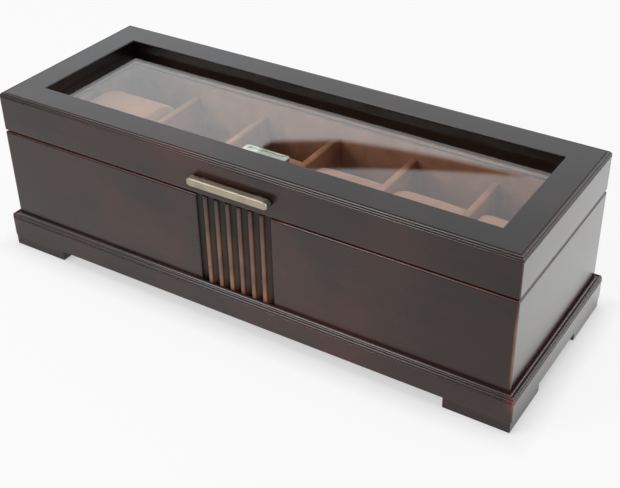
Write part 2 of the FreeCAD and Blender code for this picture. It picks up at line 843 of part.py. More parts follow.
def make_hinges():
    """Two butt hinges let into the seam, each with a pin that the case's leaf holds."""
    for end, way in (("left", -1), ("right", 1)):
        make_leaf(f"hinge_{end}_case_leaf", way, lid_side=False)
        make_leaf(f"hinge_{end}_lid_leaf", way, lid_side=True)
        pin = new_body(f"hinge_{end}_pin")
        circle = new_sketch(pin, "YZ_Plane")
        trace_circle(circle, ZERO, ZERO, cell.pin_radius)
        pad(pin, circle, cell.hinge_length, side="Symmetric")
        place(pin, x=hinge_x * way, y=half_depth + hinge_out, z=seam)


def make_hinge_screws():
    """Three countersunk screws for each leaf, down into the case and up into the lid."""
    row = half_depth - cell.leaf_width / 2
    head = cell.wood_head_radius
    taper = head - cell.wood_screw_radius
    for label, level, turn in (("hinge_case_screws", seam - cell.leaf_gap / 2, DOWNWARDS),
                               ("hinge_lid_screws", seam + cell.leaf_gap / 2, UPWARDS)):
        spots = [(hinge_x * way + cell.wood_screw_pitch * step, row, level)
                 for way in (-1, 1) for step in (-1, 0, 1)]
        screw_row(label, spots, turn, cell.wood_screw_radius, head, cell.wood_screw_length,
                  taper, flush=True)


# Catch

def make_catch():
    """A magnetic catch: a plated case with a pressed groove, its back plate, a magnet and poles."""
    case = new_body("catch_case")
    half, near, far = cell.catch_length / 2, -bead_face, cell.catch_reach - bead_face
    plan = new_sketch(case, "XY_Plane", catch_bottom)
    trace_box(plan, -half, near, half, far)
    pad(case, plan, cell.catch_rise)
    edge_y = far.number

    def is_nose(edge):
        """The two upright corners that point into the box."""
        box = edge.BoundBox
        return box.ZLength > cell.catch_rise.number / 2 and box.YMin > edge_y - 0.001

    ease(case, "Fillet", cell.catch_round, is_nose)
    plate = new_sketch(case, "XZ_Plane", bead_face)
    half_plate = cell.catch_plate_length / 2
    trace_box(plate, -half_plate, catch_top - cell.catch_plate_rise, half_plate, catch_top)
    pad(case, plate, cell.plate_thick, reverse=True)
    slot = new_sketch(case, "XY_Plane", catch_bottom)
    slot_half = cell.magnet_width / 2 + cell.pole_thick
    trace_box(slot, -cell.magnet_length / 2, -catch_middle - slot_half,
              cell.magnet_length / 2, slot_half - catch_middle)
    cut(case, slot, cell.magnet_rise, reverse=True)
    groove = new_sketch(case, "XY_Plane", catch_top)
    groove_half, groove_end = half - cell.catch_rim * 2, far - cell.catch_rim
    trace_box(groove, -groove_half, groove_end - cell.catch_groove_width, groove_half, groove_end)
    cut(case, groove, cell.catch_groove_depth)
    holes = new_sketch(case, "XZ_Plane")
    for x, z in catch_holes:
        trace_circle(holes, x, z, cell.small_screw_radius + cell.screw_clear)
    cut(case, holes)
    place(case)
    left, half_magnet = -cell.magnet_length / 2, cell.magnet_width / 2
    block("catch_magnet", (left, -catch_middle - half_magnet, catch_bottom),
          (cell.magnet_length, cell.magnet_width, cell.magnet_rise))
    for face, low in (("front", -catch_middle - slot_half), ("back", half_magnet - catch_middle)):
        block(f"catch_pole_{face}", (left, low, pole_bottom),
              (cell.magnet_length, cell.pole_thick, cell.magnet_rise + cell.pole_out))


def make_strike():
    """A bent plate on the case's front lining, whose upper leg the catch pulls down on."""
    back = lined_half_depth
    end = bead_face - cell.catch_reach + cell.strike_short
    body = new_body("strike_plate")
    section = new_sketch(body, "YZ_Plane")
    trace(section, [
        (-back, strike_bottom),
        (cell.plate_thick - back, strike_bottom),
        (cell.plate_thick - back, strike_top - cell.plate_thick),
        (-end, strike_top - cell.plate_thick),
        (-end, strike_top),
        (-back, strike_top),
    ])
    pad(body, section, cell.strike_length, side="Symmetric")
    holes = new_sketch(body, "XZ_Plane")
    for x, z in strike_holes:
        trace_circle(holes, x, z, cell.small_screw_radius + cell.screw_clear)
    cut(body, holes)
    place(body)


def make_small_screws():
    """Two screws through the catch's back plate, and two through the strike."""
    head = cell.small_head_rise
    shank = cell.small_screw_length
    for label, holes, face in (("catch_screws", catch_holes, bead_face),
                               ("strike_screws", strike_holes, lined_half_depth)):
        spots = [(x, cell.plate_thick + head - face, z) for x, z in holes]
        screw_row(label, spots, FORWARDS, cell.small_screw_radius, cell.small_head_radius,
                  shank, head, flush=False)


def check(doc):
    """Stops unless every object is up to date and every node has a valid solid shape."""
    doc.recompute()
    for item in doc.Objects:
        if "Invalid" in item.State or "Error" in item.State:
            raise RuntimeError(f"{item.Label}: {item.State}")
    for label, piece in nodes.items():
        shape = piece.Shape
        if shape.isNull() or not shape.isValid() or not shape.Solids:
            raise RuntimeError(f"{label}: not a valid solid")


def write(folder):
    os.makedirs(folder, exist_ok=True)
    for label, piece in nodes.items():
        piece.Shape.exportStep(os.path.join(folder, f"{label}.step"))
        print(f"{label}: {len(piece.Shape.Solids)} solid, {piece.Shape.Volume:.1f} mm3")


make_feet()
make_plinth()
make_walls()
make_floor()
make_linings()
make_dividers()
make_cushions()
make_lid_frame()
make_glass()
make_beads()
make_lid_linings()
make_handle()
make_handle_screws()
make_hinges()
make_hinge_screws()
make_catch()
make_strike()
make_small_screws()
check(doc)
write("parts")
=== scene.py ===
"""The looks of a wooden watch box: lacquered wood, suede inside, cushions, metal and glass."""
import logging
import math
from dataclasses import dataclass, field, replace
from enum import Enum
from typing import Any

import bpy
import numpy as np
from mathutils import Matrix, Vector


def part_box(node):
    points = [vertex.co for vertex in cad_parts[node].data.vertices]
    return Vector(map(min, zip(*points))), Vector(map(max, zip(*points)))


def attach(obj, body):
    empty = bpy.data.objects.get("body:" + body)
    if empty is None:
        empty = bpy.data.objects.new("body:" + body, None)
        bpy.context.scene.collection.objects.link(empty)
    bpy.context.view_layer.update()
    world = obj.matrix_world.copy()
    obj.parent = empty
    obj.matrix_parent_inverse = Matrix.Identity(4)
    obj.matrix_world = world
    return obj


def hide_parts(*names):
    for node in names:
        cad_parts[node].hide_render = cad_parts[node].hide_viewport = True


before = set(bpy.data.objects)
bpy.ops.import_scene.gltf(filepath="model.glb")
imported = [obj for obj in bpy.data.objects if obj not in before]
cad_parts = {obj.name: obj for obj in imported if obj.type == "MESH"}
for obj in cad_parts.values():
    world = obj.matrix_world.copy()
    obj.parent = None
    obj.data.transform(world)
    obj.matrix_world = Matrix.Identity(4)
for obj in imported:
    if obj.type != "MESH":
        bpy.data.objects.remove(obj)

LOG = logging.getLogger("watch_box")
MM = 0.001
SIDES = ("front", "right", "back", "left")
ENDS = ("left", "right")
CUSHIONS = 6
DIVIDERS = 5


def linear(hex_code: str) -> tuple[float, float, float, float]:
    """Turns an sRGB colour into the linear one that a shader takes.

    Args:
        hex_code: six hex digits, red first.

    Returns:
        Red, green, blue and an alpha of one.
    """
    parts = [int(hex_code[start:start + 2], 16) / 255 for start in (0, 2, 4)]
    red, green, blue = (part / 12.92 if part <= 0.04045 else ((part + 0.055) / 1.055) ** 2.4
                        for part in parts)
    return red, green, blue, 1.0


def add(tree: bpy.types.NodeTree, kind: str, inputs: dict[Any, Any] | None = None,
        **settings: Any) -> bpy.types.Node:
    """Adds one shader node, sets it up and links it.

    Args:
        tree: the material's or world's node tree.
        kind: the node's type name, without its usual beginning.
        inputs: a value or another node's output for each input, by name or number.
        settings: the node's own properties.

    Returns:
        The new node.
    """
    node = tree.nodes.new(f"ShaderNode{kind}")
    for name, value in settings.items():
        setattr(node, name, value)
    for name, value in (inputs or {}).items():
        if isinstance(value, bpy.types.NodeSocket):
            tree.links.new(value, node.inputs[name])
        else:
            node.inputs[name].default_value = value
    return node


def mask(tree: bpy.types.NodeTree, *steps: tuple[Any, float, float], times: tuple[Any, ...] = (),
         unit: float = MM, smooth: bool = True) -> Any:
    """Marks where every value is past its limits, as the product of one step for each value.

    Args:
        tree: the node tree.
        steps: a value, the limit where its step is 0, and the limit where it is 1.
        times: further factors, numbers or other masks.
        unit: what the limits are counted in, millimetres unless said.
        smooth: whether the steps ease in and out.

    Returns:
        The mask's socket.
    """
    kind = "SMOOTHSTEP" if smooth else "LINEAR"
    factors = [add(tree, "MapRange", {"Value": value, "From Min": low * unit,
                                      "From Max": high * unit},
                   interpolation_type=kind).outputs["Result"] for value, low, high in steps]
    result, *others = *factors, *times
    for factor in others:
        result = add(tree, "Math", {0: result, 1: factor}, operation="MULTIPLY").outputs[0]
    return result


@dataclass(frozen=True)
class Layout:
    """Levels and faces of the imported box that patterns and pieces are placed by, in metres."""

    half_length: float
    half_depth: float
    middle_y: float
    case_top: float
    lid_bottom: float
    lid_top: float
    plinth_bottom: float
    plinth_reach: float

    @classmethod
    def read(cls) -> "Layout":
        """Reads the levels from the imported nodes."""
        wall_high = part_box("wall_back")[1]
        side_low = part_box("wall_front")[0]
        lid_low, lid_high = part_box("lid_left")
        plinth_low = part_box("plinth_front")[0]
        return cls(
            half_length=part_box("wall_right")[1].x,
            half_depth=(wall_high.y - side_low.y) / 2,
            middle_y=(wall_high.y + side_low.y) / 2,
            case_top=wall_high.z,
            lid_bottom=lid_low.z,
            lid_top=lid_high.z,
            plinth_bottom=plinth_low.z,
            plinth_reach=side_low.y - plinth_low.y,
        )


class WearAndPaintedLight(Enum):
    """Which arrises of a wooden piece are rubbed through, which recesses get painted shade, and
    whether its flutes' ridges get a painted highlight.
    """

    NONE = "none"
    CASE = "case"
    FLUTES = "flutes"
    LID = "lid"
    PLINTH = "plinth"


class Finish:
    """What a surface is made of: each finish adds its own shader to a new material."""

    def surface(self, tree: bpy.types.NodeTree) -> bpy.types.Node:
        """Adds the finish's shader to a material's empty node tree."""
        raise NotImplementedError

    def make(self, name: str) -> bpy.types.Material:
        """Builds the material.

        Args:
            name: the material's name.

        Returns:
            The material.
        """
        material = bpy.data.materials.new(name)
        material.use_nodes = True
        tree = material.node_tree
        tree.nodes.clear()
        add(tree, "OutputMaterial", {"Surface": self.surface(tree).outputs[0]})
        return material


@dataclass(frozen=True)
class Spot:
    """A point's place on the box, as the sockets that the wood's marks are worked out from."""

    along: Any
    across: Any
    height: Any
    side: Any
    behind: tuple[Any, Any]
    depth: Any


@dataclass(frozen=True)
class LacqueredWood(Finish):
    """Close-grained hardwood, stained espresso brown and sprayed with a satin lacquer.

    The stain leaves faint streaks along the grain and a redder cast in patches. Where the arrises
    were rubbed before the last coat, the lighter wood shows through. The recesses are darkened with
    painted shade, and the flutes' ridges are lightened partly by rubbing and partly as a painted
    highlight. Lengths are in millimetres, and a pair of them is where a mark begins and where it is
    full.
    """

    layout: Layout
    along_x: bool = True
    wear_and_light: WearAndPaintedLight = WearAndPaintedLight.NONE
    dark: str = "241917"
    light: str = "2b1d1a"
    red: str = "462620"
    # Painted shade: the colour that darkens the recesses.
    recess_shade_colour: str = "090605"
    rubbed: str = "6c3020"
    bare_and_lit: str = "90664a"
    streak: tuple[float, float] = (60.0, 2.2)
    pore: tuple[float, float] = (9.0, 0.5)
    patch: float = 55.0
    rub_patch: float = 14.0
    roughness: float = 0.22
    matt: float = 0.7
    flute_pitch: float = 7.35
    skin: tuple[float, float] = (1.4, 0.9)
    upright: tuple[float, float] = (1.4, 0.4)
    corner: tuple[float, float] = (7.0, 1.0)
    outer_crest: tuple[float, float] = (1.7, 2.1)
    inner_crest: tuple[float, float] = (3.1, 2.7)
    frame_inside: tuple[float, float] = (18.3, 18.8)
    frame_top: tuple[float, float] = (2.0, 3.0)
    valley: tuple[float, float] = (0.5, 1.9)
    valley_end: tuple[float, float] = (4.0, 3.0)
    flutes_end: tuple[float, float] = (26.4, 26.0)
    ridges_end: tuple[float, float] = (23.2, 22.4)
    ridge: tuple[float, float] = (3.6, 0.2)
    ridge_heights: tuple[float, float] = (78.0, 30.0)
    ridge_shares: tuple[float, float] = (0.12, 0.85)
    bare_high: tuple[float, float] = (80.0, 66.0)
    bare_low: tuple[float, float] = (22.0, 40.0)
    bare_low_plinth: tuple[float, float] = (10.0, 20.0)
    bare_share: float = 0.9
    corner_share: float = 0.55
    valley_share: float = 0.65

    def scale(self, size: tuple[float, float]) -> Vector:
        """Gives a pattern's scale for a mark of that length and width in millimetres."""
        along, across = 1 / (size[0] * MM), 1 / (size[1] * MM)
        return Vector((along, across, across) if self.along_x else (across, along, across))

    def spot(self, tree: bpy.types.NodeTree, place: Any) -> Spot:
        """Works out how far a point lies from the box's middle and behind its outer faces.

        The long faces lie across Y and the short ones across X. The depth is the one behind the
        piece's own face.

        Args:
            tree: the material's node tree.
            place: the Object coordinates.

        Returns:
            The point's place.
        """
        size = self.layout
        x, y, z = add(tree, "SeparateXYZ", {0: place}).outputs
        across = add(tree, "Math", {0: y, 1: size.middle_y}, operation="SUBTRACT").outputs[0]
        reach = size.plinth_reach if self.wear_and_light is WearAndPaintedLight.PLINTH else 0.0
        behind = []
        for value, half in ((across, size.half_depth), (x, size.half_length)):
            out = add(tree, "Math", {0: value}, operation="ABSOLUTE").outputs[0]
            behind.append(add(tree, "Math", {0: half + reach, 1: out},
                              operation="SUBTRACT").outputs[0])
        depth = behind[0] if self.along_x else behind[1]
        return Spot(along=x, across=across, height=z, side=out, behind=tuple(behind), depth=depth)

    def ridges(self, tree: bpy.types.NodeTree, spot: Spot) -> Any:
        """Marks the ridges between the flutes: less the farther from a ridge and the higher up. The
        crests are rubbed through; the wide falloff over the flanks and the rise towards the bottom
        are a painted highlight.
        """
        half_pitch = self.flute_pitch / 2 * MM
        shifted = add(tree, "Math", {0: spot.side, 1: half_pitch}, operation="ADD").outputs[0]
        away = add(tree, "Math", {0: shifted, 1: half_pitch}, operation="PINGPONG").outputs[0]
        (high, low), (least, most) = self.ridge_heights, self.ridge_shares
        # Painted highlight: the share grows towards the bottom, where the lamps light the ridges
        # more.
        lit_towards_bottom = add(tree, "MapRange", {"Value": spot.height, "From Min": high * MM,
                                      "From Max": low * MM, "To Min": least,
                                      "To Max": most}).outputs["Result"]
        return mask(tree, (spot.side, *self.ridges_end), (away, *self.ridge),
                    (spot.across, 0.0, -1.0), times=(lit_towards_bottom,))

    def worn_and_lit(self, tree: bpy.types.NodeTree, place: Any, spot: Spot) -> tuple[Any, Any]:
        """Marks where the lacquer is rubbed, from 0 to 1.

        A mark is a band of height times a band of depth behind the piece's outer face. The case's
        and the plinth's upright arrises are rubbed to the wood, most of all high up, and the lid's
        hardly at all.

        Args:
            tree: the material's node tree.
            place: the Object coordinates.
            spot: the point's place on the box.

        Returns:
            The masks for arrises that are rubbed thin, and for wood that is rubbed through; on the
            fluted front the second also holds the ridges, which are partly a painted highlight.
        """
        if self.wear_and_light is WearAndPaintedLight.NONE:
            return 0.0, 0.0
        height, skin = spot.height, (spot.depth, *self.skin)
        upright = mask(tree, *((behind, *self.upright) for behind in spot.behind))
        low = self.bare_low_plinth if self.wear_and_light is WearAndPaintedLight.PLINTH else self.bare_low
        share = 0.0 if self.wear_and_light is WearAndPaintedLight.LID else self.bare_share
        bare_and_lit = mask(tree, (height, *self.bare_high), (height, *low), times=(upright, share))
        marks = [mask(tree, times=(upright, 0.15 + share / 4))]
        if self.wear_and_light in (WearAndPaintedLight.CASE, WearAndPaintedLight.FLUTES):
            top = self.layout.case_top / MM
            plain = [(spot.side, 22.5, 24.5)] if self.wear_and_light is WearAndPaintedLight.FLUTES else []
            marks.append(mask(tree, (height, top - 1.0, top - 0.5), skin, *plain, times=(0.4,)))
        # The flutes' ridges join the rubbed wood: rubbed on the crests, and a painted highlight
        # over the flanks and towards the bottom.
        if self.wear_and_light is WearAndPaintedLight.FLUTES:
            bare_and_lit = add(tree, "Math", {0: bare_and_lit, 1: self.ridges(tree, spot)},
                       operation="MAXIMUM").outputs[0]
        if self.wear_and_light is WearAndPaintedLight.LID:
            bottom, top = self.layout.lid_bottom / MM, self.layout.lid_top / MM
            marks.append(mask(tree, (height, bottom + 0.8, bottom + 0.4), skin, times=(0.25,)))
            marks.append(mask(tree, (spot.depth, *self.inner_crest),
                              (spot.depth, *self.outer_crest), (height, top - 1.0, top - 0.7),
                              times=(0.1,)))
        if self.wear_and_light is WearAndPaintedLight.PLINTH:
            bottom = self.layout.plinth_bottom / MM
            marks.append(mask(tree, (height, bottom + 0.9, bottom + 0.4), skin, times=(0.15,)))
            # The corner under the moulding is rubbed over a few millimetres.
            marks.append(mask(tree, *((behind, *self.corner) for behind in spot.behind),
                              (height, 11.0, 18.0), times=(self.corner_share,)))
        thin = marks[0]
        for mark in marks[1:]:
            thin = add(tree, "Math", {0: thin, 1: mark}, operation="MAXIMUM").outputs[0]
        patchy = add(tree, "TexNoise", {"Vector": place, "Scale": 1 / (self.rub_patch * MM),
                                        "Detail": 3.0})
        kept = add(tree, "MapRange", {"Value": patchy.outputs["Fac"], "From Min": 0.35,
                                      "From Max": 0.62, "To Min": 0.45, "To Max": 1.0})
        return tuple(mask(tree, times=(part, kept.outputs["Result"])) for part in (thin, bare_and_lit))

    def shaded_recess_mask(self, tree: bpy.types.NodeTree, spot: Spot) -> Any:
        """Marks the inner sides and the top of the lid's frame, and the bottoms of the flutes.

        There the colour is darkened as painted shade, for the shade that falls in these recesses.

        Args:
            tree: the material's node tree.
            spot: the point's place on the box.

        Returns:
            The mask's socket, or 0 where the piece has none.
        """
        # Painted shade: the flutes' bottoms, the inner sides of the lid's frame, and a narrow band
        # on its top two to three millimetres in from the outer face are darkened.
        if self.wear_and_light is WearAndPaintedLight.FLUTES:
            return mask(tree, (spot.depth, *self.valley), (spot.depth, *self.valley_end),
                        (spot.side, *self.flutes_end), times=(self.valley_share,))
        if self.wear_and_light is WearAndPaintedLight.LID:
            top = self.layout.lid_top / MM
            inner = mask(tree, (spot.depth, *self.frame_inside),
                         (spot.height, top - 0.1, top - 0.5))
            upper = mask(tree, (spot.depth, *self.frame_top), (spot.height, top - 0.8, top - 0.3),
                         times=(0.6,))
            return add(tree, "Math", {0: inner, 1: upper}, operation="MAXIMUM").outputs[0]
        return 0.0

    def colour(self, tree: bpy.types.NodeTree, place: Any, spot: Spot, cloud: Any,
               recess_shade: Any) -> Any:
        """Layers the colours: two tones of stain, the red cast, the painted shade of the recesses
        and the rubbed places, which on the flutes' ridges are partly a painted highlight.

        Args:
            tree: the material's node tree.
            place: the Object coordinates.
            spot: the point's place on the box.
            cloud: the pattern of the red patches.
            recess_shade: the mask of the painted shade in the recesses.

        Returns:
            The colour's socket.
        """
        streaks = add(tree, "Mapping", {"Vector": place, "Scale": self.scale(self.streak)})
        stain = add(tree, "TexNoise", {"Vector": streaks.outputs[0], "Scale": 1.0, "Detail": 4.0})
        grain = add(tree, "MapRange", {"Value": stain.outputs["Fac"], "From Min": 0.35,
                                       "From Max": 0.68})
        # Long pieces are redder in the middle of the box than near its ends.
        most = add(tree, "MapRange", {"Value": spot.side, "From Min": 0.07, "From Max": 0.14,
                                      "To Min": 0.65, "To Max": 0.2 if self.along_x else 0.6})
        cast = add(tree, "MapRange", {"Value": cloud, "From Min": 0.4, "From Max": 0.7,
                                      "To Max": most.outputs["Result"]})
        thin, through = self.worn_and_lit(tree, place, spot)
        colour = linear(self.dark)
        # The recesses take painted shade, and the rubbed layer is also a painted highlight on the
        # flutes' ridges.
        layers = ((grain.outputs["Result"], self.light), (cast.outputs["Result"], self.red),
                  (recess_shade, self.recess_shade_colour), (thin, self.rubbed), (through, self.bare_and_lit))
        for share, shade in layers:
            colour = add(tree, "Mix", {"Factor": share, "A": colour, "B": linear(shade)},
                         data_type="RGBA").outputs["Result"]
        return colour

    def surface(self, tree: bpy.types.NodeTree) -> bpy.types.Node:
        """Adds the finish's shader.

        Args:
            tree: the material's node tree.

        Returns:
            The shader.
        """
        place = add(tree, "TexCoord").outputs["Object"]
        spot = self.spot(tree, place)
        # Painted shade for the recesses; on the fluted front it also makes the flutes' bottoms
        # rougher.
        recess_shade = self.shaded_recess_mask(tree, spot)
        cloud = add(tree, "TexNoise", {"Vector": place, "Scale": 1 / (self.patch * MM),
                                       "Detail": 2.0}).outputs["Fac"]
        pores = add(tree, "Mapping", {"Vector": place, "Scale": self.scale(self.pore)})
        pits = add(tree, "TexNoise", {"Vector": pores.outputs[0], "Scale": 1.0, "Detail": 2.0})
        relief = add(tree, "Bump", {"Strength": 0.05, "Distance": 0.05 * MM,
                                    "Height": pits.outputs["Fac"]})
        gloss = add(tree, "MapRange", {"Value": cloud, "To Min": self.roughness - 0.04,
                                       "To Max": self.roughness + 0.06})
        dull = recess_shade if self.wear_and_light is WearAndPaintedLight.FLUTES else 0.0
        if self.wear_and_light is WearAndPaintedLight.PLINTH and self.along_x:
            # The left half of the plinth has lost some of its shine.
            dull = add(tree, "MapRange", {"Value": spot.along, "From Min": -0.02, "From Max": -0.08,
                                          "To Max": 0.3}).outputs["Result"]
        sheen = add(tree, "Mix", {"Factor": dull, "A": gloss.outputs["Result"], "B": self.matt})
        return add(tree, "BsdfPrincipled", {
            "Base Color": self.colour(tree, place, spot, cloud, recess_shade),
            "Roughness": sheen.outputs["Result"],
            "Normal": relief.outputs[0],
            "IOR": 1.5,
        })


@dataclass(frozen=True)
class Suede(Finish):
    """Brushed microfibre suede: a short nap in soft strokes, lighter where it stands up."""

    dark: str
    light: str
    stroke: float = 16.0
    nap: float = 0.9
    sheen: float = 0.35
    sheen_tint: str = "e8c4a8"

    def surface(self, tree: bpy.types.NodeTree) -> bpy.types.Node:
        """Adds the finish's shader.

        Args:
            tree: the material's node tree.

        Returns:
            The shader.
        """
        place = add(tree, "TexCoord").outputs["Object"]
        strokes = add(tree, "TexNoise", {"Vector": place, "Scale": 1 / (self.stroke * MM),
                                         "Detail": 3.0, "Distortion": 0.8})
        # The real nap is some 0.3 mm across, too fine for the picture, so it is drawn coarser.
        nap = add(tree, "TexNoise", {"Vector": place, "Scale": 1 / (self.nap * MM), "Detail": 3.0})
        lie = add(tree, "MapRange", {"Value": strokes.outputs["Fac"], "From Min": 0.35,
                                     "From Max": 0.68})
        fuzz = add(tree, "MapRange", {"Value": nap.outputs["Fac"], "From Min": 0.3, "From Max": 0.7,
                                      "To Min": -0.12, "To Max": 0.12})
        share = add(tree, "Math", {0: lie.outputs["Result"], 1: fuzz.outputs["Result"]},
                    operation="ADD", use_clamp=True)
        colour = add(tree, "Mix", {"Factor": share.outputs[0], "A": linear(self.dark),
                                   "B": linear(self.light)}, data_type="RGBA")
        relief = add(tree, "Bump", {"Strength": 0.35, "Distance": 0.15 * MM,
                                    "Height": nap.outputs["Fac"]})
        return add(tree, "BsdfPrincipled", {
            "Base Color": colour.outputs["Result"],
            "Roughness": 0.92,
            "Normal": relief.outputs[0],
            "Specular IOR Level": 0.2,
            "Sheen Weight": self.sheen,
            "Sheen Roughness": 0.5,
            "Sheen Tint": linear(self.sheen_tint),
        })


@dataclass(frozen=True)
class PlatedMetal(Finish):
    """Nickel plate over brass or steel, with the faint lines of its last polish along one axis."""

    colour: str = "bdb09d"
    shade: str = "948874"
    roughness: float = 0.5
    line: tuple[float, float] = (14.0, 0.35)
    well: tuple[Vector, Vector] | None = None
    well_rim: float = 1.0
    well_painted_shade: str = "b4bcae"

    def pressed(self, tree: bpy.types.NodeTree, place: Any) -> Any:
        """Marks the pressed well in the top of a box, whose colour is darkened there as painted
        shade.

        Args:
            tree: the material's node tree.
            place: the Object coordinates.

        Returns:
            The mask's socket, or 0 where there is no well.
        """
        if self.well is None:
            return 0.0
        low, high = self.well
        spot = add(tree, "SeparateXYZ", {0: place}).outputs
        steps = [(spot[2], high.z / MM - 0.1, high.z / MM - 0.6)]
        for axis in (0, 1):
            middle, half = (low[axis] + high[axis]) / 2, (high[axis] - low[axis]) / 2 / MM
            away = add(tree, "Math", {0: spot[axis], 1: middle}, operation="SUBTRACT").outputs[0]
            out = add(tree, "Math", {0: away}, operation="ABSOLUTE").outputs[0]
            steps.append((out, half - self.well_rim + 0.2, half - self.well_rim - 0.2))
        return mask(tree, *steps, smooth=False)

    def surface(self, tree: bpy.types.NodeTree) -> bpy.types.Node:
        """Adds the finish's shader.

        Args:
            tree: the material's node tree.

        Returns:
            The shader.
        """
        place = add(tree, "TexCoord").outputs["Object"]
        along, across = 1 / (self.line[0] * MM), 1 / (self.line[1] * MM)
        brushed = add(tree, "Mapping", {"Vector": place,
                                        "Scale": Vector((along, across, across))})
        lines = add(tree, "TexNoise", {"Vector": brushed.outputs[0], "Scale": 1.0, "Detail": 2.0})
        cloud = add(tree, "TexNoise", {"Vector": place, "Scale": 1 / (7 * MM), "Detail": 2.0})
        tarnish = add(tree, "MapRange", {"Value": cloud.outputs["Fac"], "From Min": 0.45,
                                         "From Max": 0.8, "To Max": 0.5})
        clean = add(tree, "Mix", {"Factor": tarnish.outputs["Result"], "A": linear(self.colour),
                                  "B": linear(self.shade)}, data_type="RGBA")
        # Painted shade: the well is drawn in a darker colour.
        colour = add(tree, "Mix", {"Factor": self.pressed(tree, place),
                                   "A": clean.outputs["Result"],
                                   "B": linear(self.well_painted_shade)}, data_type="RGBA")
        gloss = add(tree, "MapRange", {"Value": lines.outputs["Fac"],
                                       "To Min": self.roughness - 0.07,
                                       "To Max": self.roughness + 0.07})
        relief = add(tree, "Bump", {"Strength": 0.08, "Distance": 0.03 * MM,
                                    "Height": lines.outputs["Fac"]})
        return add(tree, "BsdfPrincipled", {
            "Base Color": colour.outputs["Result"],
            "Metallic": 1.0,
            "Roughness": gloss.outputs["Result"],
            "Normal": relief.outputs[0],
        })


@dataclass(frozen=True)
class FloatGlass(Finish):
    """Clear float glass with a faint green body; it lets the lamps through to what lies below."""

    tint: str = "fafcfa"

    def surface(self, tree: bpy.types.NodeTree) -> bpy.types.Node:
        """Adds the finish's shader.

        Args:
            tree: the material's node tree.

        Returns:
            The shader.
        """
        glass = add(tree, "BsdfPrincipled", {
            "Base Color": linear(self.tint),
            "Roughness": 0.0,
            "IOR": 1.52,
            "Transmission Weight": 1.0,
        })
        clear = add(tree, "BsdfTransparent", {"Color": linear(self.tint)})
        path = add(tree, "LightPath")
        through = add(tree, "Math", {0: path.outputs["Is Shadow Ray"],
                                     1: path.outputs["Is Diffuse Ray"]}, operation="MAXIMUM")
        return add(tree, "MixShader", {0: through.outputs[0], 1: glass.outputs[0],
                                       2: clear.outputs[0]})


@dataclass(frozen=True)
class Ferrite(Finish):
    """Sintered ferrite, as magnets are made of: charcoal grey, matt and slightly grainy."""

    dark: str = "2a2a2b"
    light: str = "3b3b3c"
    grit: float = 0.6

    def surface(self, tree: bpy.types.NodeTree) -> bpy.types.Node:
        """Adds the finish's shader.

        Args:
            tree: the material's node tree.

        Returns:
            The shader.
        """
        place = add(tree, "TexCoord").outputs["Object"]
        grains = add(tree, "TexNoise", {"Vector": place, "Scale": 1 / (self.grit * MM),
                                        "Detail": 3.0})
        colour = add(tree, "Mix", {"Factor": grains.outputs["Fac"], "A": linear(self.dark),
                                   "B": linear(self.light)}, data_type="RGBA")
        relief = add(tree, "Bump", {"Strength": 0.3, "Distance": 0.05 * MM,
                                    "Height": grains.outputs["Fac"]})
        return add(tree, "BsdfPrincipled", {
            "Base Color": colour.outputs["Result"],
            "Roughness": 0.7,
            "Normal": relief.outputs[0],
        })


